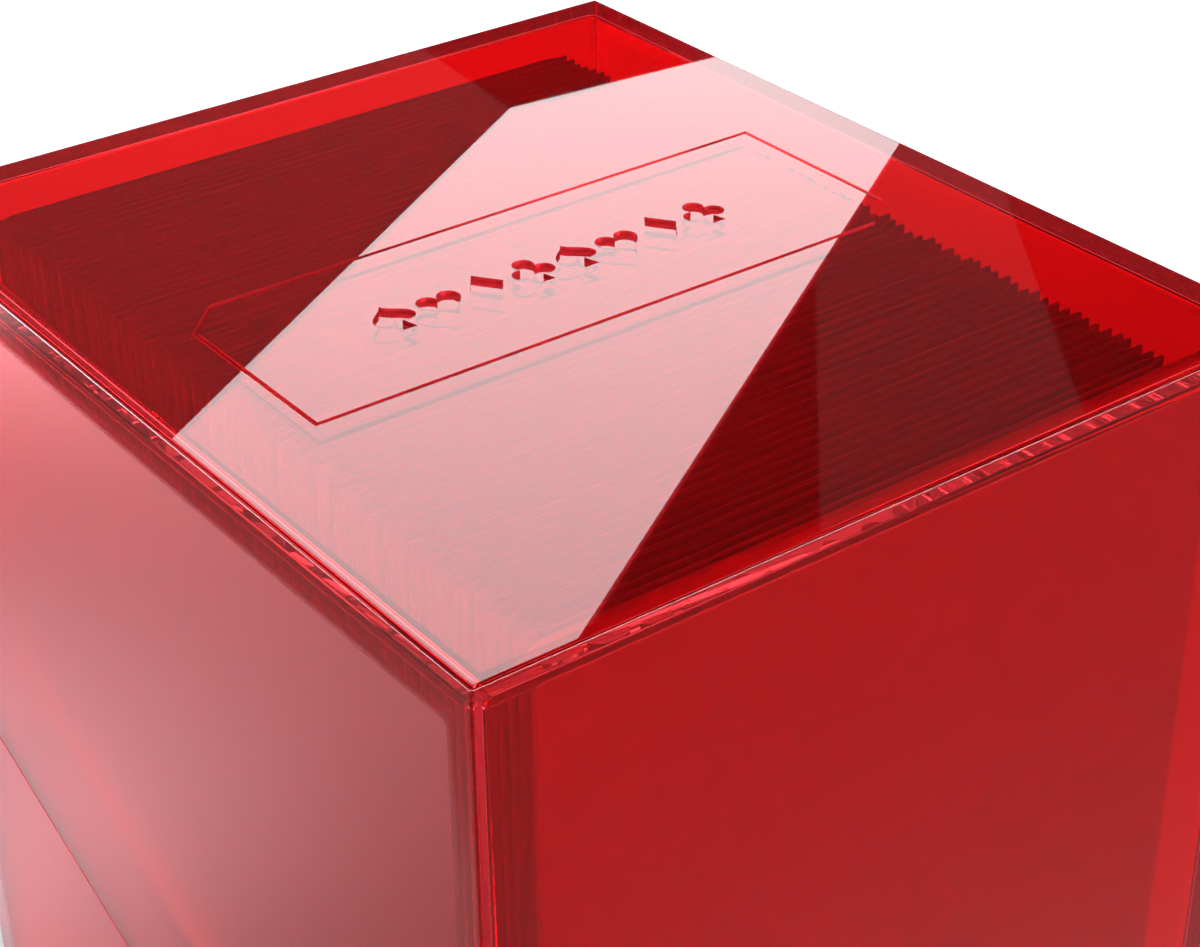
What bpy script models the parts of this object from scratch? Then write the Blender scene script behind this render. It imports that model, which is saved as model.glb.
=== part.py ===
"""A card deck box: a clear two-part case that parts along a slanted seam, holding a deck of sleeved cards.

Metres, +Z up. The origin is at the centre of the underside. X runs along a card's width, Y through the
deck from its first card to its last, and the seam is low at the front (-Y) and high at the back (+Y).
"""

import math

import bmesh
import bpy
from mathutils import Vector

MM = 0.001

# Driving dimensions
WIDTH = 83.0 * MM
DEPTH = 96.3 * MM
HEIGHT = 101.0 * MM
WALL = 1.5 * MM  # side walls of the lid
PLATE = 2.2 * MM  # its top plate
EDGE_RADIUS = 0.35 * MM  # outer edges
INNER_RADIUS = 0.8 * MM  # corners of the hollows
TOUCH_GAP = 0.3 * MM  # left between pieces that touch

SEAM_FRONT = 8.8 * MM  # height of the seam at the front face
SEAM_BACK = 48.8 * MM  # and at the back face
COLLAR_RISE = 14.3 * MM  # how far the collar stands above the seam
COLLAR_WALL = 1.6 * MM
COLLAR_GAP = 0.4 * MM  # sliding gap between the collar and the lid's wall
COLLAR_ROOT = 0.6 * MM  # how far the collar reaches down into the floor

FOOT_HEIGHT = 2.4 * MM  # rim that the case stands on
FOOT_WIDTH = 6.0 * MM
FLOOR_TOP = 5.0 * MM

SNAP_Y = 30.9 * MM  # snap bumps, before and behind the middle
SNAP_RISE = 7.2 * MM  # above the seam
SNAP_RADIUS = 1.3 * MM
SNAP_BUMP = 0.15 * MM
SNAP_DIMPLE = 0.3 * MM

SLEEVE_WIDTH = 66.0 * MM
SLEEVE_HEIGHT = 92.0 * MM
SLEEVE_CORNER = 1.2 * MM
PAIRS = 35  # each solid is two sleeved cards pressed together
DECK_FRONT = -42.45 * MM
PAIR_PITCH = 2.42 * MM

DIVIDER_LEFT = -33.5 * MM  # a stiff sheet wider than the sleeves, in front of the deck
DIVIDER_RIGHT = 37.5 * MM
DIVIDER_HEIGHT = 91.6 * MM
DIVIDER_THICKNESS = 0.9 * MM
DIVIDER_CORNER = 1.5 * MM
DIVIDER_TO_DECK = 0.3 * MM

PANEL_HALF_LENGTH = 31.4 * MM  # engraved outline on the lid
PANEL_HALF_WIDTH = 11.5 * MM
PANEL_Y = -0.8 * MM
PANEL_CHAMFER = 3.6 * MM
GROOVE_WIDTH = 0.45 * MM
GROOVE_DEPTH = 0.3 * MM
MOTIF_DEPTH = 0.45 * MM
MOTIF_HEIGHT = 4.8 * MM
MOTIF_PITCH = 4.75 * MM
MOTIF_SUITS = ("spade", "heart", "diamond", "club") * 2

CUTTER_EXTRA = 20.0 * MM  # how far a cutter runs past what it cuts
CLEAR_RED = (0.72, 0.02, 0.025, 0.45)
SLEEVE_RED = (0.42, 0.05, 0.06, 1.0)
DIVIDER_RED = (0.46, 0.06, 0.07, 1.0)

# Worked out from those
SEAM_SLOPE = math.atan2(SEAM_BACK - SEAM_FRONT, DEPTH)
LID_INSIDE = Vector((WIDTH - 2 * WALL, DEPTH - 2 * WALL, HEIGHT - PLATE))
COLLAR_OUTSIDE = Vector((WIDTH, DEPTH)) - Vector((2, 2)) * (WALL + COLLAR_GAP)
TRAY_INSIDE = COLLAR_OUTSIDE - Vector((2, 2)) * COLLAR_WALL


def seam_height(y):
    """Height of the seam above the underside, at this distance from the middle."""
    return SEAM_FRONT + (y + DEPTH / 2) * math.tan(SEAM_SLOPE)


def clear_scene():
    for obj in list(bpy.data.objects):
        bpy.data.objects.remove(obj)


def new_collection(name):
    collection = bpy.data.collections.new(name)
    bpy.context.scene.collection.children.link(collection)
    return collection


def plain_material(name, color, roughness, transmission=0.0):
    material = bpy.data.materials.new(name)
    material.use_nodes = True
    shader = material.node_tree.nodes["Principled BSDF"]
    shader.inputs["Base Color"].default_value = color[:3] + (1.0,)
    shader.inputs["Roughness"].default_value = roughness
    shader.inputs["Metallic"].default_value = 0.0
    shader.inputs["IOR"].default_value = 1.5
    shader.inputs["Transmission Weight"].default_value = transmission
    material.diffuse_color = color
    return material


def add_object(name, data, collection, location=(0, 0, 0)):
    obj = bpy.data.objects.new(name, data)
    obj.location = location
    collection.objects.link(obj)
    return obj


def as_cutter(obj):
    obj.hide_render = True
    obj.display_type = "WIRE"
    return obj


def box(name, size, collection, location=(0, 0, 0)):
    """A box with its location at the middle of its underside."""
    mesh = bpy.data.meshes.new(name)
    shape = bmesh.new()
    bmesh.ops.create_cube(shape, size=1.0)
    bmesh.ops.translate(shape, vec=(0, 0, 0.5), verts=shape.verts)
    bmesh.ops.scale(shape, vec=size, verts=shape.verts)
    shape.to_mesh(mesh)
    shape.free()
    return add_object(name, mesh, collection, location)


def ball(name, radius, collection, location):
    mesh = bpy.data.meshes.new(name)
    shape = bmesh.new()
    bmesh.ops.create_uvsphere(shape, u_segments=48, v_segments=32, radius=radius)
    shape.to_mesh(mesh)
    shape.free()
    return as_cutter(add_object(name, mesh, collection, location))


def round_edges(obj, radius, segments=3):
    bevel = obj.modifiers.new("rounded edges", "BEVEL")
    bevel.width = radius
    bevel.segments = segments
    bevel.limit_method = "ANGLE"
    return obj


def combine(obj, other, operation):
    boolean = obj.modifiers.new(f"{operation.lower()} {other.name}", "BOOLEAN")
    boolean.operation = operation
    boolean.solver = "EXACT"
    if isinstance(other, bpy.types.Collection):
        boolean.operand_type = "COLLECTION"
        boolean.collection = other
    else:
        boolean.object = other


def slanted_cutter(name, height_above_seam, collection, upwards):
    """A block whose one face lies that far above the seam, and which fills all that is over or under it."""
    size = (WIDTH + CUTTER_EXTRA, 3 * DEPTH, 2 * HEIGHT)
    cutter = box(name, size, collection)
    cutter.location = (0, 0, seam_height(0) + height_above_seam)
    cutter.rotation_euler = (SEAM_SLOPE, 0, 0) if upwards else (SEAM_SLOPE + math.pi, 0, 0)
    return as_cutter(cutter)


def snap_places():
    """The four snaps: the side (-1 or 1) that each is on, and its Y."""
    return [(side, end * SNAP_Y) for side in (-1, 1) for end in (-1, 1)]


def cap_ball(name, wall_x, side, y, rise, collection):
    """A ball whose cap of radius SNAP_RADIUS stands out by rise from the wall face at wall_x."""
    radius = (SNAP_RADIUS**2 + rise**2) / (2 * rise)
    centre = (side * (wall_x + rise - radius), y, seam_height(y) + SNAP_RISE)
    return ball(name, radius, collection, centre)


def flat_curve(name, loops, half_thickness):
    """A flat shape bounded by closed loops of points, as a filled curve of this half thickness."""
    curve = bpy.data.curves.new(name, "CURVE")
    curve.dimensions = "2D"
    curve.fill_mode = "BOTH"
    curve.extrude = half_thickness
    for loop in loops:
        spline = curve.splines.new("POLY")
        spline.points.add(len(loop) - 1)
        for point, (x, y) in zip(spline.points, loop):
            point.co = (x, y, 0, 1)
        spline.use_cyclic_u = True
    return curve


def outline_cutter(name, loops, depth, collection, place=(0, 0)):
    """A flat shape that is sunk to this depth in the lid's top face."""
    drawn = add_object(name + "_curve", flat_curve(name, loops, depth), collection, (*place, HEIGHT))
    bpy.context.view_layer.update()
    evaluated = drawn.evaluated_get(bpy.context.evaluated_depsgraph_get())
    mesh = bpy.data.meshes.new_from_object(evaluated)
    mesh.name = name
    shape = bmesh.new()
    shape.from_mesh(mesh)
    bmesh.ops.remove_doubles(shape, verts=shape.verts, dist=0.00001)
    shape.to_mesh(mesh)
    shape.free()
    cutter = add_object(name, mesh, collection)
    cutter.matrix_world = drawn.matrix_world
    bpy.data.objects.remove(drawn)
    return as_cutter(cutter)


def panel_loop(inset):
    """The engraved outline: a rectangle with two opposite corners cut off."""
    half_x = PANEL_HALF_LENGTH - inset
    half_y = PANEL_HALF_WIDTH - inset
    cut = PANEL_CHAMFER - inset * (2 - math.sqrt(2))
    return [
        (-half_x, -half_y),
        (half_x - cut, -half_y),
        (half_x, -half_y + cut),
        (half_x, half_y),
        (-half_x + cut, half_y),
        (-half_x, half_y - cut),
    ]


def circle_loop(radius, x, y, points=20):
    turns = [2 * math.pi * i / points for i in range(points)]
    return [(x + radius * math.cos(t), y + radius * math.sin(t)) for t in turns]


def heart_loop(width, height, y, points=28):
    """A heart, or with a negative height the body of a spade."""
    loop = []
    for i in range(points):
        t = 2 * math.pi * i / points
        across = math.sin(t) ** 3
        along = (13 * math.cos(t) - 5 * math.cos(2 * t) - 2 * math.cos(3 * t) - math.cos(4 * t)) / 17
        loop.append((width * across, height * along + y))
    return loop if height > 0 else loop[::-1]


def stem_loop(top, foot, half_width):
    return [(-half_width, foot), (half_width, foot), (half_width / 4, top), (-half_width / 4, top)]


def suit_loops(suit):
    """The outlines that make up one card suit, one unit tall and centred."""
    if suit == "diamond":
        return [[(0, -0.5), (0.36, 0), (0, 0.5), (-0.36, 0)]]
    if suit == "heart":
        return [heart_loop(0.44, 0.5, -0.03)]
    if suit == "spade":
        return [heart_loop(0.42, -0.42, 0.08), stem_loop(-0.05, -0.5, 0.17)]
    leaves = [circle_loop(0.21, x, y) for x, y in ((0, 0.27), (-0.23, -0.06), (0.23, -0.06))]
    return [*leaves, circle_loop(0.12, 0, 0.05), stem_loop(0.0, -0.5, 0.17)]


def engraving(collection):
    """Cutters for the outline and the row of card suits on the lid."""
    outline_cutter(
        "outline_groove", [panel_loop(0), panel_loop(GROOVE_WIDTH)], GROOVE_DEPTH, collection, (0, PANEL_Y)
    )
    first = -MOTIF_PITCH * (len(MOTIF_SUITS) - 1) / 2
    for number, suit in enumerate(MOTIF_SUITS):
        place = (first + number * MOTIF_PITCH, PANEL_Y)
        for part, loop in enumerate(suit_loops(suit)):
            scaled = [(x * MOTIF_HEIGHT, y * MOTIF_HEIGHT) for x, y in loop]
            outline_cutter(f"{suit}_{number}_{part}", [scaled], MOTIF_DEPTH, collection, place)


def outer_block(name, collection):
    """The whole case as one solid block with rounded edges."""
    return round_edges(box(name, (WIDTH, DEPTH, HEIGHT), collection), EDGE_RADIUS)


def make_base_tray(parts, cutters):
    tray = outer_block("base_tray", parts)
    combine(tray, slanted_cutter("over_seam", 0, cutters, upwards=True), "DIFFERENCE")

    collar_size = (COLLAR_OUTSIDE.x, COLLAR_OUTSIDE.y, HEIGHT - FLOOR_TOP)
    collar = box("collar_block", collar_size, cutters, (0, 0, FLOOR_TOP - COLLAR_ROOT))
    round_edges(as_cutter(collar), INNER_RADIUS, 2)
    combine(collar, slanted_cutter("over_collar", COLLAR_RISE, cutters, upwards=True), "DIFFERENCE")
    combine(tray, collar, "UNION")

    hollow = box("tray_hollow", (*TRAY_INSIDE, HEIGHT), cutters, (0, 0, FLOOR_TOP))
    combine(tray, round_edges(as_cutter(hollow), INNER_RADIUS, 2), "DIFFERENCE")
    recess_size = (WIDTH - 2 * FOOT_WIDTH, DEPTH - 2 * FOOT_WIDTH, CUTTER_EXTRA)
    recess = box("foot_recess", recess_size, cutters, (0, 0, FOOT_HEIGHT - CUTTER_EXTRA))
    combine(tray, round_edges(as_cutter(recess), INNER_RADIUS, 2), "DIFFERENCE")

    for number, (side, y) in enumerate(snap_places()):
        bump = cap_ball(f"snap_bump_{number}", COLLAR_OUTSIDE.x / 2, side, y, SNAP_BUMP, cutters)
        trim = box(f"snap_trim_{number}", (COLLAR_WALL / 2, 4 * SNAP_RADIUS, 4 * SNAP_RADIUS), cutters)
        trim.location = (side * COLLAR_OUTSIDE.x / 2, y, seam_height(y) + SNAP_RISE - 2 * SNAP_RADIUS)
        combine(bump, as_cutter(trim), "INTERSECT")
        combine(tray, bump, "UNION")
    return tray


def make_lid_cover(parts, cutters, engraving_cutters):
    lid = outer_block("lid_cover", parts)
    size = (LID_INSIDE.x, LID_INSIDE.y, LID_INSIDE.z + CUTTER_EXTRA)
    hollow = box("lid_hollow", size, cutters, (0, 0, -CUTTER_EXTRA))
    combine(lid, round_edges(as_cutter(hollow), INNER_RADIUS, 2), "DIFFERENCE")
    combine(lid, slanted_cutter("under_seam", TOUCH_GAP, cutters, upwards=False), "DIFFERENCE")
    for number, (side, y) in enumerate(snap_places()):
        dimple = cap_ball(f"snap_dimple_{number}", LID_INSIDE.x / 2, side, y, SNAP_DIMPLE, cutters)
        combine(lid, dimple, "DIFFERENCE")
    engraving(engraving_cutters)
    combine(lid, engraving_cutters, "DIFFERENCE")
    return lid


def card_loop(width, height, corner):
    """The face of a sleeve or a sheet: a rectangle with small round corners, centred."""
    half_x = width / 2 - corner
    half_y = height / 2 - corner
    loop = []
    for quarter, (x, y) in enumerate(((1, 1), (-1, 1), (-1, -1), (1, -1))):
        for step in range(3):
            turn = math.pi / 2 * (quarter + step / 2)
            loop.append((x * half_x + corner * math.cos(turn), y * half_y + corner * math.sin(turn)))
    return loop


def standing_sheet(name, curve, deck, x, y, bottom, height):
    """An upright flat piece on the deck's empty, with its middle at x and y and its foot at bottom."""
    sheet = add_object(name, curve, deck.users_collection[0])
    sheet.parent = deck
    sheet.location = Vector((x, y, bottom + height / 2)) - deck.location
    sheet.rotation_euler = (math.pi / 2, 0, 0)


def make_deck(parts, sleeve_material, divider_material):
    """A divider sheet and pairs of sleeved cards that stand on edge, on an empty under the deck's middle."""
    thickness = PAIR_PITCH - TOUCH_GAP
    bottom = FLOOR_TOP + TOUCH_GAP
    deck = add_object("deck", None, parts, (0, DECK_FRONT + PAIRS * PAIR_PITCH / 2, bottom))
    face = card_loop(SLEEVE_WIDTH, SLEEVE_HEIGHT, SLEEVE_CORNER)
    curve = flat_curve("sleeved_card_pair", [face], thickness / 2)
    curve.materials.append(sleeve_material)
    for number in range(PAIRS):
        middle = DECK_FRONT + (number + 0.5) * PAIR_PITCH
        standing_sheet(f"sleeved_card_pair_{number + 1:02d}", curve, deck, 0, middle, bottom, SLEEVE_HEIGHT)

    face = card_loop(DIVIDER_RIGHT - DIVIDER_LEFT, DIVIDER_HEIGHT, DIVIDER_CORNER)
    sheet = flat_curve("card_divider", [face], DIVIDER_THICKNESS / 2)
    sheet.materials.append(divider_material)
    middle = DECK_FRONT - DIVIDER_TO_DECK - DIVIDER_THICKNESS / 2
    centre = (DIVIDER_LEFT + DIVIDER_RIGHT) / 2
    standing_sheet("card_divider", sheet, deck, centre, middle, bottom, DIVIDER_HEIGHT)


def main():
    clear_scene()
    parts = new_collection("card_deck_box")
    cutters = new_collection("cutters")
    engraving_cutters = new_collection("engraving_cutters")

    tray = make_base_tray(parts, cutters)
    tray.data.materials.append(plain_material("base_clear_red", CLEAR_RED, 0.08, transmission=1.0))
    lid = make_lid_cover(parts, cutters, engraving_cutters)
    lid.data.materials.append(plain_material("lid_clear_red", CLEAR_RED, 0.05, transmission=1.0))
    sleeve_material = plain_material("card_sleeve", SLEEVE_RED, 0.35)
    make_deck(parts, sleeve_material, plain_material("divider_sheet", DIVIDER_RED, 0.4))


main()
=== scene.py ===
"""The looks of a card deck box: a clear red two-part case with a slanted seam, full of sleeved cards.

Metres, +Z up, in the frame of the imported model. X runs along a card's width, Y through the deck, and
the seam is low at the front (-Y) and high at the back (+Y).
"""

import math
import random

import bmesh
import bpy
from mathutils import Matrix, Vector


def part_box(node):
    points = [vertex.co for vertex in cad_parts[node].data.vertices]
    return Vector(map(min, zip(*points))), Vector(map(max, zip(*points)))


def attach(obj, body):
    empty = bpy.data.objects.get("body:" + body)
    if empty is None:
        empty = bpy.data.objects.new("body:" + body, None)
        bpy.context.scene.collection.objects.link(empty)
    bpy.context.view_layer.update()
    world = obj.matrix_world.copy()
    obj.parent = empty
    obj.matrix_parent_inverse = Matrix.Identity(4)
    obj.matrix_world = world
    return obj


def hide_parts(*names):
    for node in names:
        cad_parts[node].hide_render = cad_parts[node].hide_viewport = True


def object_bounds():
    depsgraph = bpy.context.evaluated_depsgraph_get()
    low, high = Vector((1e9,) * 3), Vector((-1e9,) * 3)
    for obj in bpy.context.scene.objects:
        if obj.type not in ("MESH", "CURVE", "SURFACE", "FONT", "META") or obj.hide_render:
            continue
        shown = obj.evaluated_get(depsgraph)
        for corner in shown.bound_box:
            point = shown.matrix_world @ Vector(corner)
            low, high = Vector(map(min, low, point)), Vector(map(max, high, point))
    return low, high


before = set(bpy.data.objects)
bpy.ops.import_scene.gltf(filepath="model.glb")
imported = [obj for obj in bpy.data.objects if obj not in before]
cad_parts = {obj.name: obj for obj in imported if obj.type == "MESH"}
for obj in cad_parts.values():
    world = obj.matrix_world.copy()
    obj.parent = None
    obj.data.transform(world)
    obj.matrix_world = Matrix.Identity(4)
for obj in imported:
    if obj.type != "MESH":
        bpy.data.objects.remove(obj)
cad_low, cad_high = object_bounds()

MM = 0.001

# The case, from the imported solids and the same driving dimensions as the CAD
WIDTH = cad_high.x - cad_low.x
DEPTH = cad_high.y - cad_low.y
HEIGHT = cad_high.z - cad_low.z
WALL = 1.5 * MM
PLATE = 2.2 * MM
EDGE_RADIUS = 0.35 * MM
INNER_RADIUS = 0.8 * MM
TOUCH_GAP = 0.3 * MM
SEAM_FRONT = 8.8 * MM
SEAM_BACK = 48.8 * MM
COLLAR_RISE = 14.3 * MM
COLLAR_WALL = 1.6 * MM
COLLAR_GAP = 0.4 * MM
COLLAR_ROOT = 0.6 * MM
FOOT_HEIGHT = 2.4 * MM
FOOT_WIDTH = 6.0 * MM
FLOOR_TOP = 5.0 * MM
SNAP_Y = 30.9 * MM
SNAP_RISE = 7.2 * MM
SNAP_RADIUS = 1.3 * MM
SNAP_BUMP = 0.15 * MM
SNAP_DIMPLE = 0.3 * MM
PANEL_HALF_LENGTH = 31.4 * MM
PANEL_HALF_WIDTH = 11.5 * MM
PANEL_Y = -0.8 * MM
PANEL_CHAMFER = 3.6 * MM
GROOVE_WIDTH = 0.45 * MM
GROOVE_DEPTH = 0.3 * MM
MOTIF_DEPTH = 0.45 * MM
MOTIF_HEIGHT = 4.8 * MM
MOTIF_PITCH = 4.75 * MM
MOTIF_SUITS = ("spade", "heart", "diamond", "club") * 2
CUTTER_EXTRA = 20.0 * MM

SEAM_SLOPE = math.atan2(SEAM_BACK - SEAM_FRONT, DEPTH)
LID_INSIDE = Vector((WIDTH - 2 * WALL, DEPTH - 2 * WALL, HEIGHT - PLATE))
COLLAR_OUTSIDE = Vector((WIDTH, DEPTH)) - Vector((2, 2)) * (WALL + COLLAR_GAP)
TRAY_INSIDE = COLLAR_OUTSIDE - Vector((2, 2)) * COLLAR_WALL

# Sleeved cards: each packed pair is two of them
SLEEVE_FILM = 0.12 * MM
SLEEVE_PLAY = 0.06 * MM  # air between one sleeve and the next
SLEEVE_MARGIN = 0.1 * MM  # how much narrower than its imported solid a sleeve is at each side
SLEEVE_LEVELS = ((0.0, 0.25), (0.01, 0.6), (0.03, 1.0), (0.5, 1.0), (0.97, 1.0), (1.0, 1.03))  # height, swell
SLEEVE_FLANGE = 0.3 * MM  # thickness of the two welded films at a sleeve's sides
SLEEVE_WELD = 1.0 * MM  # how far the flat welded flange reaches in
SLEEVE_WAIST = 2.2 * MM  # how far in from a side the sleeve has reached its full thickness
CARD_SIZE = Vector((63.0, 0.31, 88.0)) * MM
CARD_CORNER = 3.2 * MM
CARD_FOOT = 0.6 * MM
CARD_SLIP = 0.6 * MM
SIDE_JITTER = 0.26 * MM
TOP_JITTER = 0.35 * MM
PUFF_JITTER = 0.12
DECK_SEED = 4
DIVIDER_CORNER = 1.5 * MM
DIVIDER_BREAK = 0.15 * MM

# The camera
CAMERA_PLACE = Vector((-116.03, -161.78, 199.82)) * MM
CAMERA_AZIMUTH = -36.90
CAMERA_ELEVATION = 31.24
CAMERA_ROLL = -0.50
CAMERA_LENS = 76.03

# The clear plastic: its tint at each surface, and the share of light that isn't scattered
CLEAR_RED = (0.87, 0.035, 0.045)
CLARITY = 0.975
POLISH = 0.008
SATIN_SIDES = 0.34
SATIN_FRONT = 0.12
SATIN_START = 2.0 * MM  # where the satin begins to show, in from an edge
SATIN_END = 3.8 * MM
SATIN_DROP = 1.4 * MM  # how much further down it begins under the top edge

# The lights
FRONT_BAND = 10.4
HORIZON = 1.0
DIM_ROOM = 0.01
KEY_REACH = 3.2  # how much further away than the lid a panel hangs, along the camera's reflection
KEY_RADIANCE = 4.4
FILL_REACH = 3.3
FILL_RADIANCE = 0.1
TOP_POWER = 0.135
TOP_SPREAD = 30.0
# painted glow: how brightly the looked-at floor glows in front of the case, rising to white behind it
FRONT_FLOOR_GLOW = 0.25
FLOOR_GREYS = ((0.34, 0.34, 0.34), (0.36, 0.36, 0.36))
FLOOR_DIM = 0.06
FLOOR_BACK = 1.3
FLOOR_LEFT = 12.5
FLOOR_NEAR = 1.5  # close to the left side, seen in the lower part of the left face
FLOOR_UNDER = 2.5  # under the case, led up into the edges by its walls
FLOOR_RIGHT = 0.7  # close to the right side, seen through the gap beside the deck
FLOOR_DROP = 0.2 * MM
FLOOR_WHITE = (0.96, 0.91, 1.0)
KEY_WHITE = (0.93, 0.98, 1.0)
ROOM_WHITE = (0.97, 0.97, 1.0)
LIGHT_BOUNCES = 64  # light goes to and fro many times inside a clear wall
ENGRAVED_CLARITY = 0.45
ENGRAVED_ROUGHNESS = 0.2


# ---------------------------------------------------------------- helpers
def add_object(name, data, location=(0, 0, 0)):
    obj = bpy.data.objects.new(name, data)
    obj.location = location
    bpy.context.scene.collection.objects.link(obj)
    return obj


def seam_height(y):
    return SEAM_FRONT + (y + DEPTH / 2) * math.tan(SEAM_SLOPE)


def box(name, size, location=(0, 0, 0)):
    """A box with its location at the middle of its underside."""
    mesh = bpy.data.meshes.new(name)
    shape = bmesh.new()
    bmesh.ops.create_cube(shape, size=1.0)
    bmesh.ops.translate(shape, vec=(0, 0, 0.5), verts=shape.verts)
    bmesh.ops.scale(shape, vec=size, verts=shape.verts)
    shape.to_mesh(mesh)
    shape.free()
    return add_object(name, mesh, location)


def round_edges(obj, radius, segments):
    bevel = obj.modifiers.new("rounded edges", "BEVEL")
    bevel.width = radius
    bevel.segments = segments
    bevel.limit_method = "ANGLE"
    return obj


def combine(obj, other, operation):
    boolean = obj.modifiers.new(f"{operation.lower()} {other.name}", "BOOLEAN")
    boolean.operation = operation
    boolean.solver = "EXACT"
    boolean.object = other


def settle(obj):
    """Applies an object's modifiers and its place to its mesh."""
    bpy.context.view_layer.update()
    evaluated = obj.evaluated_get(bpy.context.evaluated_depsgraph_get())
    mesh = bpy.data.meshes.new_from_object(evaluated)
    mesh.transform(obj.matrix_world)
    obj.modifiers.clear()
    obj.data = mesh
    obj.matrix_world = Matrix.Identity(4)
    return obj


def remove(objects):
    for obj in objects:
        bpy.data.objects.remove(obj)


# ---------------------------------------------------------------- shells
def slanted_cutter(name, height_above_seam, upwards):
    """A block whose one face lies that far above the seam, and which fills all that is over or under it."""
    cutter = box(name, (WIDTH + CUTTER_EXTRA, 3 * DEPTH, 2 * HEIGHT))
    cutter.location = (0, 0, seam_height(0) + height_above_seam)
    cutter.rotation_euler = (SEAM_SLOPE, 0, 0) if upwards else (SEAM_SLOPE + math.pi, 0, 0)
    return cutter


def snap_places():
    return [(side, end * SNAP_Y) for side in (-1, 1) for end in (-1, 1)]


def cap_ball(name, wall_x, side, y, rise):
    """A ball whose cap of radius SNAP_RADIUS stands out by rise from the wall face at wall_x."""
    radius = (SNAP_RADIUS**2 + rise**2) / (2 * rise)
    mesh = bpy.data.meshes.new(name)
    shape = bmesh.new()
    bmesh.ops.create_uvsphere(shape, u_segments=96, v_segments=64, radius=radius)
    shape.to_mesh(mesh)
    shape.free()
    return add_object(name, mesh, (side * (wall_x + rise - radius), y, seam_height(y) + SNAP_RISE))


def outline_cutter(name, loops, depth, place=(0, 0)):
    """A flat shape that is sunk to this depth in the lid's top face."""
    curve = bpy.data.curves.new(name, "CURVE")
    curve.dimensions = "2D"
    curve.fill_mode = "BOTH"
    curve.extrude = depth
    for loop in loops:
        spline = curve.splines.new("POLY")
        spline.points.add(len(loop) - 1)
        for point, (x, y) in zip(spline.points, loop):
            point.co = (x, y, 0, 1)
        spline.use_cyclic_u = True
    drawn = add_object(name + "_curve", curve, (*place, HEIGHT))
    bpy.context.view_layer.update()
    mesh = bpy.data.meshes.new_from_object(drawn.evaluated_get(bpy.context.evaluated_depsgraph_get()))
    shape = bmesh.new()
    shape.from_mesh(mesh)
    bmesh.ops.remove_doubles(shape, verts=shape.verts, dist=0.00001)
    shape.to_mesh(mesh)
    shape.free()
    cutter = add_object(name, mesh)
    cutter.matrix_world = drawn.matrix_world
    bpy.data.objects.remove(drawn)
    return cutter


def panel_loop(inset):
    """The engraved outline: a rectangle with two opposite corners cut off."""
    half_x = PANEL_HALF_LENGTH - inset
    half_y = PANEL_HALF_WIDTH - inset
    cut = PANEL_CHAMFER - inset * (2 - math.sqrt(2))
    return [
        (-half_x, -half_y),
        (half_x - cut, -half_y),
        (half_x, -half_y + cut),
        (half_x, half_y),
        (-half_x + cut, half_y),
        (-half_x, half_y - cut),
    ]


def circle_loop(radius, x, y, points=20):
    turns = [2 * math.pi * i / points for i in range(points)]
    return [(x + radius * math.cos(t), y + radius * math.sin(t)) for t in turns]


def heart_loop(width, height, y, points=28):
    """A heart, or with a negative height the body of a spade."""
    loop = []
    for i in range(points):
        t = 2 * math.pi * i / points
        across = math.sin(t) ** 3
        along = (13 * math.cos(t) - 5 * math.cos(2 * t) - 2 * math.cos(3 * t) - math.cos(4 * t)) / 17
        loop.append((width * across, height * along + y))
    return loop if height > 0 else loop[::-1]


def stem_loop(top, foot, half_width):
    return [(-half_width, foot), (half_width, foot), (half_width / 4, top), (-half_width / 4, top)]


def suit_loops(suit):
    """The outlines that make up one card suit, one unit tall and centred."""
    if suit == "diamond":
        return [[(0, -0.5), (0.36, 0), (0, 0.5), (-0.36, 0)]]
    if suit == "heart":
        return [heart_loop(0.44, 0.5, -0.03)]
    if suit == "spade":
        return [heart_loop(0.42, -0.42, 0.08), stem_loop(-0.05, -0.5, 0.17)]
    leaves = [circle_loop(0.21, x, y) for x, y in ((0, 0.27), (-0.23, -0.06), (0.23, -0.06))]
    return [*leaves, circle_loop(0.12, 0, 0.05), stem_loop(0.0, -0.5, 0.17)]


def engraving_cutters():
    outline = [panel_loop(0), panel_loop(GROOVE_WIDTH)]
    cutters = [outline_cutter("outline_groove", outline, GROOVE_DEPTH, (0, PANEL_Y))]
    first = -MOTIF_PITCH * (len(MOTIF_SUITS) - 1) / 2
    for number, suit in enumerate(MOTIF_SUITS):
        place = (first + number * MOTIF_PITCH, PANEL_Y)
        for part, loop in enumerate(suit_loops(suit)):
            scaled = [(x * MOTIF_HEIGHT, y * MOTIF_HEIGHT) for x, y in loop]
            cutters.append(outline_cutter(f"{suit}_{number}_{part}", [scaled], MOTIF_DEPTH, place))
    return cutters


def smooth_shell(obj):
    """Smooth shading on the rounded edges and the snaps, flat shading on the flat faces."""
    obj.data.shade_smooth()
    obj.data.set_sharp_from_angle(angle=math.radians(32))
    across_seam = Vector((0, -math.sin(SEAM_SLOPE), math.cos(SEAM_SLOPE)))
    flats = (Vector((1, 0, 0)), Vector((0, 1, 0)), Vector((0, 0, 1)), across_seam)
    for face in obj.data.polygons:
        face.use_smooth = all(abs(face.normal.dot(flat)) < 0.9999 for flat in flats)
    return obj


def mark_engraving(obj, index):
    """Gives the steep walls of the engraving their own material."""
    for face in obj.data.polygons:
        x, y, z = face.center
        sunk = HEIGHT - 1.1 * MOTIF_DEPTH < z < HEIGHT - 0.01 * MM
        within = abs(x) < PANEL_HALF_LENGTH + MM and abs(y - PANEL_Y) < PANEL_HALF_WIDTH + MM
        if sunk and within and abs(face.normal.z) < 0.5:
            face.material_index = index


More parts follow.
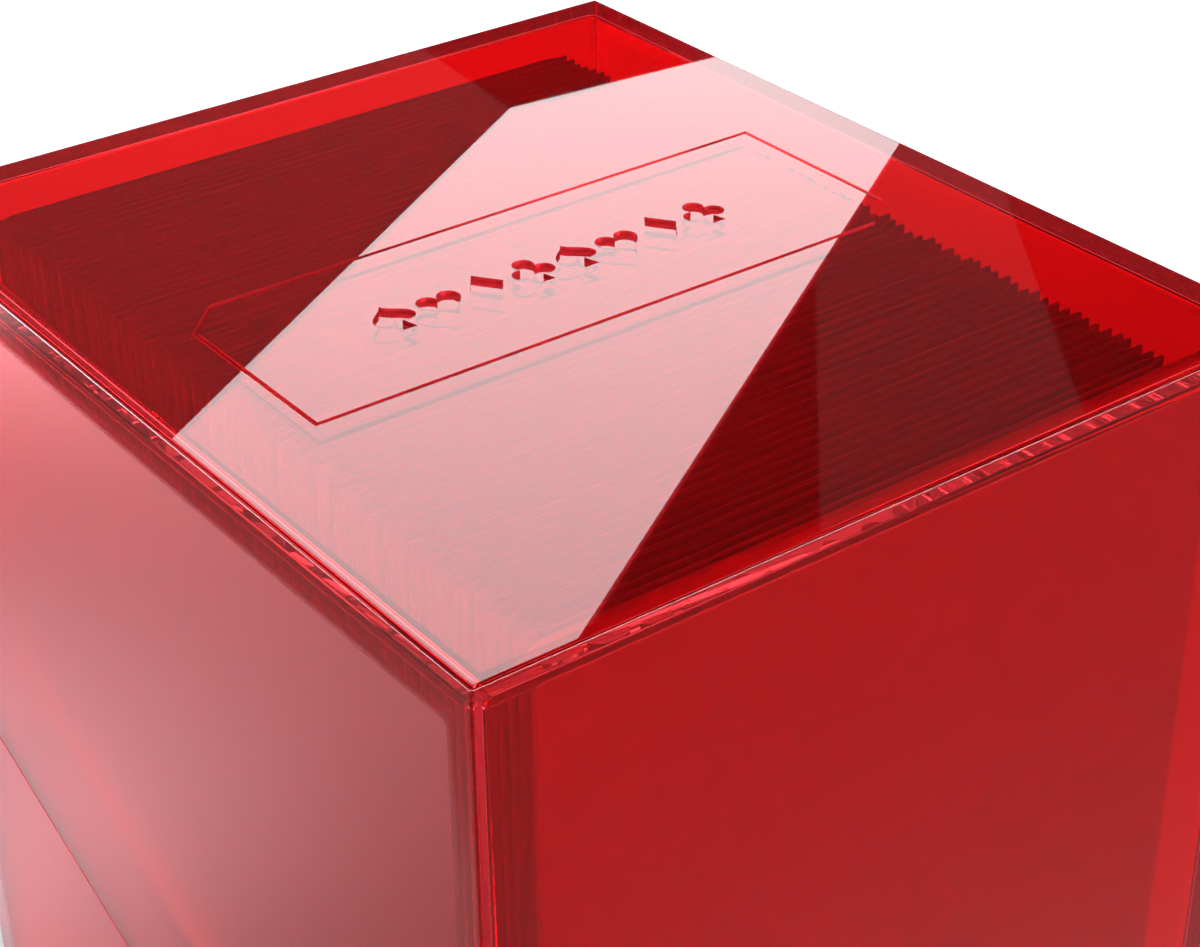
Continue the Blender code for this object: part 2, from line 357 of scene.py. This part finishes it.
def make_lid_shell():
    lid = round_edges(box("lid_shell", (WIDTH, DEPTH, HEIGHT)), EDGE_RADIUS, 8)
    hollow_size = (LID_INSIDE.x, LID_INSIDE.y, LID_INSIDE.z + CUTTER_EXTRA)
    hollow = box("lid_hollow", hollow_size, (0, 0, -CUTTER_EXTRA))
    round_edges(hollow, INNER_RADIUS, 8)
    cutters = [hollow, slanted_cutter("under_seam", TOUCH_GAP, upwards=False)]
    for number, (side, y) in enumerate(snap_places()):
        cutters.append(cap_ball(f"snap_dimple_{number}", LID_INSIDE.x / 2, side, y, SNAP_DIMPLE))
    cutters += engraving_cutters()
    for cutter in cutters:
        combine(lid, cutter, "DIFFERENCE")
    settle(lid)
    remove(cutters)
    return smooth_shell(lid)


def make_tray_shell():
    tray = round_edges(box("tray_shell", (WIDTH, DEPTH, HEIGHT)), EDGE_RADIUS, 8)
    over_seam = slanted_cutter("over_seam", 0, upwards=True)
    combine(tray, over_seam, "DIFFERENCE")
    collar_size = (COLLAR_OUTSIDE.x, COLLAR_OUTSIDE.y, HEIGHT - FLOOR_TOP)
    collar = box("collar_block", collar_size, (0, 0, FLOOR_TOP - COLLAR_ROOT))
    round_edges(collar, INNER_RADIUS, 6)
    over_collar = slanted_cutter("over_collar", COLLAR_RISE, upwards=True)
    combine(collar, over_collar, "DIFFERENCE")
    combine(tray, collar, "UNION")
    hollow = round_edges(box("tray_hollow", (*TRAY_INSIDE, HEIGHT), (0, 0, FLOOR_TOP)), INNER_RADIUS, 6)
    combine(tray, hollow, "DIFFERENCE")
    recess_size = (WIDTH - 2 * FOOT_WIDTH, DEPTH - 2 * FOOT_WIDTH, CUTTER_EXTRA)
    recess = box("foot_recess", recess_size, (0, 0, FOOT_HEIGHT - CUTTER_EXTRA))
    round_edges(recess, INNER_RADIUS, 6)
    combine(tray, recess, "DIFFERENCE")
    cutters = [over_seam, over_collar, collar, hollow, recess]
    for number, (side, y) in enumerate(snap_places()):
        bump = cap_ball(f"snap_bump_{number}", COLLAR_OUTSIDE.x / 2, side, y, SNAP_BUMP)
        trim = box(f"snap_trim_{number}", (COLLAR_WALL / 2, 4 * SNAP_RADIUS, 4 * SNAP_RADIUS))
        trim.location = (side * COLLAR_OUTSIDE.x / 2, y, seam_height(y) + SNAP_RISE - 2 * SNAP_RADIUS)
        combine(bump, trim, "INTERSECT")
        combine(tray, bump, "UNION")
        cutters += [bump, trim]
    settle(tray)
    remove(cutters)
    return smooth_shell(tray)


# ---------------------------------------------------------------- cards
def sleeve_profile(half_width, half_thickness):
    """Half thickness of a sleeve across its width, as (x, half thickness) from side to side."""
    flange = SLEEVE_FLANGE / 2
    profile = [(half_width, flange)]
    for share in (0.0, 0.25, 0.5, 0.75, 1.0):
        eased = share * share * (3 - 2 * share)
        inset = SLEEVE_WELD + share * (SLEEVE_WAIST - SLEEVE_WELD)
        profile.append((half_width - inset, flange + (half_thickness - flange) * eased))
    profile.append((half_width / 2, half_thickness))
    return [(-x, t) for x, t in profile] + [(0, half_thickness)] + [(x, t) for x, t in profile[::-1]]


def add_sleeve(shape, half_width, thickness, height, place, slot):
    """An open-topped pouch of thin film, welded at its sides and folded at its foot."""
    profile = sleeve_profile(half_width, thickness / 2)
    rings = []
    for outer in (True, False):
        for level, (share, swell) in enumerate(SLEEVE_LEVELS):
            ring = []
            for side in (-1, 1):
                for x, half in (profile if side < 0 else profile[::-1]):
                    half_here = min(half, max(half * swell, SLEEVE_FLANGE / 2))
                    inset = 0 if outer else SLEEVE_FILM
                    at_x = x if outer else max(-half_width + SLEEVE_FILM, min(half_width - SLEEVE_FILM, x))
                    at_y = side * max(half_here - inset, 0.02 * MM)
                    at_z = share * height + (0 if outer or level else SLEEVE_FILM)
                    ring.append(shape.verts.new(Vector((at_x, at_y, at_z)) + place))
            rings.append(ring)
    count = len(SLEEVE_LEVELS)
    faces = []
    for part in (0, count):
        for level in range(count - 1):
            low, high = rings[part + level], rings[part + level + 1]
            for i in range(len(low)):
                j = (i + 1) % len(low)
                quad = (low[i], low[j], high[j], high[i])
                faces.append(shape.faces.new(quad if part == 0 else quad[::-1]))
    for i in range(len(rings[0])):
        j = (i + 1) % len(rings[0])
        top_out, top_in = rings[count - 1], rings[2 * count - 1]
        faces.append(shape.faces.new((top_out[i], top_out[j], top_in[j], top_in[i])))
    for ring, flip in ((rings[0], True), (rings[count], False)):
        half = len(ring) // 2
        for i in range(half - 1):
            quad = (ring[i], ring[i + 1], ring[-2 - i], ring[-1 - i])
            faces.append(shape.faces.new(quad[::-1] if flip else quad))
    for face in faces:
        face.material_index = slot
        face.smooth = True


def rounded_rectangle(half_x, half_z, radius, steps=6):
    loop = []
    for quarter, (x, z) in enumerate(((1, 1), (-1, 1), (-1, -1), (1, -1))):
        for step in range(steps + 1):
            turn = math.pi / 2 * (quarter + step / steps)
            at_x = x * (half_x - radius) + radius * math.cos(turn)
            at_z = z * (half_z - radius) + radius * math.sin(turn)
            loop.append((at_x, at_z))
    return loop


def add_card(shape, foot, slots):
    """A round-cornered card, with its faces in one material and its cut edge in another."""
    outline = rounded_rectangle(CARD_SIZE.x / 2, CARD_SIZE.z / 2, CARD_CORNER)
    loops = []
    for side in (-1, 1):
        loop = []
        for x, z in outline:
            at = Vector((x, side * CARD_SIZE.y / 2, z + CARD_SIZE.z / 2))
            loop.append(shape.verts.new(at + foot))
        loops.append(loop)
    front = shape.faces.new(loops[0][::-1])
    back = shape.faces.new(loops[1])
    front.material_index = back.material_index = slots[0]
    for i in range(len(outline)):
        j = (i + 1) % len(outline)
        edge = shape.faces.new((loops[0][i], loops[0][j], loops[1][j], loops[1][i]))
        edge.material_index = slots[1]


def make_card_pairs(materials):
    """One piece for each packed pair: two sleeved cards, each a little out of line with the next."""
    draw = random.Random(DECK_SEED)
    pairs = sorted(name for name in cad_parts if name.startswith("sleeved_card_pair"))
    for name in pairs:
        low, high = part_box(name)
        pitch = (high.y - low.y + TOUCH_GAP) / 2
        shape = bmesh.new()
        for card in range(2):
            thickness = (pitch - SLEEVE_PLAY) * (1 - PUFF_JITTER * draw.random())
            middle = low.y - TOUCH_GAP / 2 + (card + 0.5) * pitch
            shift = draw.uniform(-SIDE_JITTER, SIDE_JITTER)
            drop = draw.uniform(0, TOP_JITTER)
            height = high.z - low.z - drop
            place = Vector((shift, middle, low.z))
            half_width = (high.x - low.x) / 2 - SLEEVE_MARGIN
            add_sleeve(shape, half_width, thickness, height, place, 0)
            slip = Vector((draw.uniform(-CARD_SLIP, CARD_SLIP), 0, CARD_FOOT))
            add_card(shape, place + slip, (1, 2))
        bmesh.ops.recalc_face_normals(shape, faces=shape.faces)
        mesh = bpy.data.meshes.new(name.replace("pair", "cards"))
        shape.to_mesh(mesh)
        shape.free()
        for material in materials:
            mesh.materials.append(material)
        piece = add_object(name.replace("sleeved_card_pair", "sleeved_cards"), mesh)
        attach(piece, "deck")
        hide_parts(name)


def make_divider(material):
    """The stiff sheet in front of the deck, with softly broken edges."""
    low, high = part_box("card_divider")
    outline = rounded_rectangle((high.x - low.x) / 2, (high.z - low.z) / 2, DIVIDER_CORNER)
    mesh = bpy.data.meshes.new("divider_sheet")
    shape = bmesh.new()
    corners = [shape.verts.new((x, low.y - (low.y + high.y) / 2, z)) for x, z in outline]
    face = shape.faces.new(corners)
    pushed = bmesh.ops.extrude_face_region(shape, geom=[face])
    moved = [part for part in pushed["geom"] if isinstance(part, bmesh.types.BMVert)]
    bmesh.ops.translate(shape, vec=(0, high.y - low.y, 0), verts=moved)
    bmesh.ops.recalc_face_normals(shape, faces=shape.faces)
    shape.to_mesh(mesh)
    shape.free()
    mesh.materials.append(material)
    sheet = add_object("divider_sheet", mesh, (low + high) / 2)
    settle(round_edges(sheet, DIVIDER_BREAK, 3))
    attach(sheet, "deck")
    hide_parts("card_divider")


# ---------------------------------------------------------------- materials
def new_material(name):
    material = bpy.data.materials.new(name)
    material.use_nodes = True
    return material, material.node_tree, material.node_tree.nodes["Principled BSDF"]


def node(tree, kind, **inputs):
    made = tree.nodes.new(kind)
    for name, value in inputs.items():
        made.inputs[name.replace("_", " ")].default_value = value
    return made


def noise(tree, scale, detail=4.0, roughness=0.5):
    place = tree.nodes.new("ShaderNodeTexCoord")
    made = node(tree, "ShaderNodeTexNoise", Scale=scale, Detail=detail, Roughness=roughness)
    tree.links.new(place.outputs["Object"], made.inputs["Vector"])
    return made.outputs["Fac"]


def spread(tree, value, low, high, start=0.3, end=0.7):
    made = tree.nodes.new("ShaderNodeMapRange")
    for name, number in (("From Min", start), ("From Max", end), ("To Min", low), ("To Max", high)):
        made.inputs[name].default_value = number
    tree.links.new(value, made.inputs["Value"])
    return made.outputs["Result"]


def blend_colors(tree, value, first, second):
    made = tree.nodes.new("ShaderNodeMix")
    made.data_type = "RGBA"
    made.inputs["A"].default_value = (*first, 1)
    made.inputs["B"].default_value = (*second, 1)
    tree.links.new(value, made.inputs["Factor"])
    return made.outputs["Result"]


def maths(tree, operation, first, second=None):
    made = tree.nodes.new("ShaderNodeMath")
    made.operation = operation
    for socket, value in zip(made.inputs, (first, second)):
        if isinstance(value, (int, float)):
            socket.default_value = value
        elif value is not None:
            tree.links.new(value, socket)
    return made.outputs[0]


def ramp(tree, value, start, end, low, high):
    """A soft step from low to high while value runs from start to end."""
    made = tree.nodes.new("ShaderNodeMapRange")
    made.interpolation_type = "SMOOTHSTEP"
    for name, number in (("From Min", start), ("From Max", end), ("To Min", low), ("To Max", high)):
        made.inputs[name].default_value = number
    tree.links.new(value, made.inputs["Value"])
    return made.outputs["Result"]


def coordinates(tree, kind="Object"):
    place = tree.nodes.new("ShaderNodeTexCoord")
    split = tree.nodes.new("ShaderNodeSeparateXYZ")
    tree.links.new(place.outputs[kind], split.inputs[0])
    return split.outputs["X"], split.outputs["Y"], split.outputs["Z"]


def satin_panel(tree, across, along, up, half_across, half_along):
    """1 on the two outer faces at half_across, fading to 0 at a polished margin along their edges."""
    from_axis = maths(tree, "ABSOLUTE", across)
    on_face = maths(tree, "GREATER_THAN", from_axis, half_across - 0.2 * MM)
    beside = maths(tree, "ABSOLUTE", along)
    side = ramp(tree, beside, half_along - SATIN_END, half_along - SATIN_START, 1.0, 0.0)
    highest = HEIGHT - SATIN_DROP
    top = ramp(tree, up, highest - SATIN_END, highest - SATIN_START, 1.0, 0.0)
    return maths(tree, "MULTIPLY", on_face, maths(tree, "MULTIPLY", side, top))


def clear_red(name, roughness, clarity=CLARITY):
    material, tree, shader = new_material(name)
    shader.inputs["Base Color"].default_value = (*CLEAR_RED, 1)
    shader.inputs["IOR"].default_value = 1.5
    shader.inputs["Transmission Weight"].default_value = clarity
    x, y, z = coordinates(tree)
    sides = maths(tree, "MULTIPLY", satin_panel(tree, x, y, z, WIDTH / 2, DEPTH / 2), SATIN_SIDES)
    front = maths(tree, "MULTIPLY", satin_panel(tree, y, x, z, DEPTH / 2, WIDTH / 2), SATIN_FRONT)
    grain = spread(tree, noise(tree, 2500.0, 3.0), 0.96, 1.04)
    satin = maths(tree, "MULTIPLY", maths(tree, "ADD", sides, front), grain)
    cloudy = spread(tree, noise(tree, 60.0), roughness * 0.5, roughness * 1.5)
    tree.links.new(maths(tree, "ADD", cloudy, satin), shader.inputs["Roughness"])
    return material


def sleeve_film():
    material, tree, shader = new_material("sleeve_film")
    shade = spread(tree, noise(tree, 900.0, 6.0, 0.7), 0.0, 1.0)
    tint = blend_colors(tree, shade, (0.41, 0.385, 0.385), (0.47, 0.445, 0.445))
    tree.links.new(tint, shader.inputs["Base Color"])
    tree.links.new(spread(tree, noise(tree, 1500.0), 0.38, 0.55), shader.inputs["Roughness"])
    return material


def divider_sheet():
    material, tree, shader = new_material("divider_sheet")
    shade = spread(tree, noise(tree, 400.0, 6.0, 0.7), 0.0, 1.0)
    tint = blend_colors(tree, shade, (0.55, 0.52, 0.52), (0.6, 0.57, 0.57))
    tree.links.new(tint, shader.inputs["Base Color"])
    tree.links.new(spread(tree, noise(tree, 1500.0), 0.4, 0.6), shader.inputs["Roughness"])
    return material


def card_face():
    material, tree, shader = new_material("card_face")
    shade = spread(tree, noise(tree, 300.0), 0.0, 1.0)
    tint = blend_colors(tree, shade, (0.62, 0.60, 0.57), (0.68, 0.66, 0.63))
    tree.links.new(tint, shader.inputs["Base Color"])
    shader.inputs["Roughness"].default_value = 0.45
    return material


def card_edge():
    material, tree, shader = new_material("card_edge")
    shade = spread(tree, noise(tree, 700.0), 0.0, 1.0)
    tint = blend_colors(tree, shade, (0.6, 0.58, 0.54), (0.75, 0.73, 0.7))
    tree.links.new(tint, shader.inputs["Base Color"])
    shader.inputs["Roughness"].default_value = 0.8
    return material


def floor_base(name):
    material, tree, shader = new_material(name)
    shade = spread(tree, noise(tree, 3.0), 0.0, 1.0)
    tree.links.new(blend_colors(tree, shade, FLOOR_GREYS[0], FLOOR_GREYS[1]), shader.inputs["Base Color"])
    shader.inputs["Roughness"].default_value = 0.9
    return material, tree, shader


def slanting(tree, x, y, along_x, along_y):
    """How far a point lies along a level direction."""
    return maths(tree, "ADD", maths(tree, "MULTIPLY", x, along_x), maths(tree, "MULTIPLY", y, along_y))


def painted_glow_floor_material():
    """The floor that is looked at, its brightness a painted glow: white behind the case, a little greyer in
    front.
    """
    material, tree, shader = floor_base("painted_glow_floor")
    shader.inputs["Specular IOR Level"].default_value = 0.0
    x, y, z = coordinates(tree)
    behind = slanting(tree, x, y, 0.6, 0.8)
    shader.inputs["Emission Color"].default_value = (1, 1, 1, 1)
    # painted glow: the floor's brightness is emission, dim in front of the case and white behind it
    tree.links.new(ramp(tree, behind, 0.0, 0.18, FRONT_FLOOR_GLOW, 1.1), shader.inputs["Emission Strength"])
    return material


def case_side_glows(tree, x, y, leftward):
    """The bright strips close to the left and the right side, and the patch under the case."""
    not_far_left = ramp(tree, leftward, 0.12, 0.17, 1.0, 0.0)
    near = maths(tree, "MULTIPLY", not_far_left, ramp(tree, y, 0.02, 0.085, 0.0, 1.0))
    outside = maths(tree, "LESS_THAN", x, -WIDTH / 2)
    beside = maths(tree, "MULTIPLY", outside, ramp(tree, x, -0.105, -0.08, 0.0, 1.0))
    near_glow = maths(tree, "MULTIPLY", maths(tree, "MULTIPLY", near, beside), FLOOR_NEAR)
    not_in_front = ramp(tree, y, -0.07, -0.03, 0.0, 1.0)
    right = maths(tree, "MULTIPLY", ramp(tree, x, 0.045, 0.07, 0.0, 1.0), not_in_front)
    right_glow = maths(tree, "MULTIPLY", right, FLOOR_RIGHT)
    inside_x = maths(tree, "LESS_THAN", maths(tree, "ABSOLUTE", x), WIDTH / 2)
    inside_y = maths(tree, "LESS_THAN", maths(tree, "ABSOLUTE", y), DEPTH / 2)
    under_glow = maths(tree, "MULTIPLY", maths(tree, "MULTIPLY", inside_x, inside_y), FLOOR_UNDER)
    return near_glow, right_glow, under_glow


def lit_floor_material():
    """A floor lit from within: bright behind the case, under it and to its left, dim in front."""
    material, tree, shader = floor_base("lit_floor")
    shader.inputs["Specular IOR Level"].default_value = 0.1
    x, y, z = coordinates(tree)
    behind = slanting(tree, x, y, 0.6, 0.8)
    leftward = slanting(tree, x, y, -0.8, 0.6)
    near_glow, right_glow, under_glow = case_side_glows(tree, x, y, leftward)
    left_start = ramp(tree, leftward, 0.2, 0.32, 0.0, FLOOR_LEFT)
    left_glow = maths(tree, "MULTIPLY", left_start, ramp(tree, leftward, 0.4, 0.5, 1.0, 0.0))
    back_glow = maths(tree, "MAXIMUM", ramp(tree, behind, 0.08, 0.26, FLOOR_DIM, FLOOR_BACK), right_glow)
    far_glow = maths(tree, "ADD", back_glow, left_glow)
    glow = maths(tree, "ADD", far_glow, maths(tree, "ADD", near_glow, under_glow))
    shader.inputs["Emission Color"].default_value = (*FLOOR_WHITE, 1)
    tree.links.new(glow, shader.inputs["Emission Strength"])
    return material


# ---------------------------------------------------------------- stage
def camera_axes(azimuth, elevation, roll):
    a, e, r = (math.radians(v) for v in (azimuth, elevation, roll))
    back = Vector((math.sin(a) * math.cos(e), -math.cos(a) * math.cos(e), math.sin(e)))
    right = Vector((0, 0, 1)).cross(back).normalized()
    up = back.cross(right)
    return right * math.cos(r) + up * math.sin(r), up * math.cos(r) - right * math.sin(r), back


def make_camera():
    data = bpy.data.cameras.new("camera")
    data.lens = CAMERA_LENS
    data.sensor_width = 36.0
    data.sensor_fit = "HORIZONTAL"
    data.clip_start = 0.01
    data.clip_end = 50.0
    camera = add_object("camera", data)
    axes = Matrix(camera_axes(CAMERA_AZIMUTH, CAMERA_ELEVATION, CAMERA_ROLL)).transposed()
    camera.matrix_world = Matrix.Translation(CAMERA_PLACE) @ axes.to_4x4()
    bpy.context.scene.camera = camera


def floor_disc(name, material):
    mesh = bpy.data.meshes.new(name)
    shape = bmesh.new()
    bmesh.ops.create_circle(shape, cap_ends=True, segments=128, radius=3.0)
    shape.to_mesh(mesh)
    shape.free()
    mesh.materials.append(material)
    disc = add_object(name, mesh, (0, 0, -FLOOR_DROP))
    return disc


def make_floor():
    """Two discs in one place: a plain pale one to look at, whose brightness is a painted glow, and a lit one
    that the case shines with.
    """
    lit = floor_disc("lit_floor", lit_floor_material())
    lit.visible_camera = False
    # painted glow: this floor is seen only by the camera, and its brightness is painted emission
    seen = floor_disc("painted_glow_floor", painted_glow_floor_material())
    seen.visible_diffuse = False
    seen.visible_glossy = False
    seen.visible_transmission = False
    seen.visible_shadow = False


def emitter(name, corners, radiance):
    """A flat polygon that gives light, unseen by the camera itself."""
    mesh = bpy.data.meshes.new(name)
    mesh.from_pydata([tuple(c) for c in corners], [], [range(len(corners))])
    material = bpy.data.materials.new(name)
    material.use_nodes = True
    tree = material.node_tree
    tree.nodes.clear()
    output = tree.nodes.new("ShaderNodeOutputMaterial")
    glow = tree.nodes.new("ShaderNodeEmission")
    glow.inputs["Color"].default_value = (*KEY_WHITE, 1)
    glow.inputs["Strength"].default_value = radiance
    tree.links.new(glow.outputs["Emission"], output.inputs["Surface"])
    mesh.materials.append(material)
    obj = add_object(name, mesh)
    obj.visible_camera = False
    return obj


def seen_in_lid(points, reach):
    """Points on the lid's top, carried out along the camera's reflection in it."""
    mirrored = Vector((CAMERA_PLACE.x, CAMERA_PLACE.y, 2 * HEIGHT - CAMERA_PLACE.z))
    return [mirrored + (Vector((x * MM, y * MM, HEIGHT)) - mirrored) * reach for x, y in points]


def area_light(name, place, size, power, spread_angle):
    """A soft light that faces straight down."""
    data = bpy.data.lights.new(name, "AREA")
    data.shape = "RECTANGLE"
    data.size, data.size_y = size
    data.energy = power
    data.spread = math.radians(spread_angle)
    light = add_object(name, data, place)
    light.visible_camera = False
    light.visible_glossy = False
    return light


def make_world():
    """A dark room with a pale horizon, and a brighter low band in front of the case."""
    world = bpy.data.worlds.new("studio")
    bpy.context.scene.world = world
    world.use_nodes = True
    tree = world.node_tree
    background = tree.nodes["Background"]
    background.inputs["Color"].default_value = (*ROOM_WHITE, 1)
    x, y, z = coordinates(tree, "Generated")
    forward = slanting(tree, x, y, -0.2, -0.98)
    front = ramp(tree, forward, 0.3, 0.7, 0.0, FRONT_BAND)
    band = maths(tree, "MULTIPLY", front, ramp(tree, z, 0.14, 0.26, 1.0, 0.0))
    horizon = ramp(tree, z, 0.1, 0.25, HORIZON, DIM_ROOM)
    tree.links.new(maths(tree, "ADD", band, horizon), background.inputs["Strength"])


def make_lights():
    """The panels are outlined by the corners of their reflections in the lid's top, in millimetres."""
    key = [(16.82, 29.41), (46.0, 26.7), (48.0, 3.84), (-40.0, -52.65), (-56.0, -50.0), (-56.0, -16.5)]
    fill = [(15.8, -17.3), (-11.2, -48.5), (16.3, -48.5), (47.5, -6.0), (46.0, 2.5)]
    veil = [(-62.0, -20.3), (16.8, 29.4), (20.0, 60.0), (-62.0, 60.0)]
    emitter("key_panel", seen_in_lid(key, KEY_REACH), KEY_RADIANCE)
    emitter("fill_panel", seen_in_lid(fill, FILL_REACH), FILL_RADIANCE)
    emitter("veil_panel", seen_in_lid(veil, FILL_REACH), FILL_RADIANCE)
    area_light("top_light", (0.0, 0.02, 0.55), (0.12, 0.12), TOP_POWER, TOP_SPREAD)


# ---------------------------------------------------------------- build
def main():
    make_camera()
    make_floor()
    make_world()
    make_lights()
    bpy.context.scene.view_settings.view_transform = "Standard"
    cycles = bpy.context.scene.cycles
    cycles.max_bounces = LIGHT_BOUNCES
    cycles.glossy_bounces = LIGHT_BOUNCES
    cycles.transmission_bounces = LIGHT_BOUNCES

    lid = make_lid_shell()
    lid.data.materials.clear()
    lid.data.materials.append(clear_red("lid_clear_red", POLISH))
    lid.data.materials.append(clear_red("lid_engraved_red", ENGRAVED_ROUGHNESS, ENGRAVED_CLARITY))
    mark_engraving(lid, 1)
    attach(lid, "lid")
    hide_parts("lid_cover")
    tray = make_tray_shell()
    tray.data.materials.clear()
    tray.data.materials.append(clear_red("base_clear_red", POLISH))
    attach(tray, "base")
    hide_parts("base_tray")
    make_card_pairs([sleeve_film(), card_face(), card_edge()])
    make_divider(divider_sheet())


main()
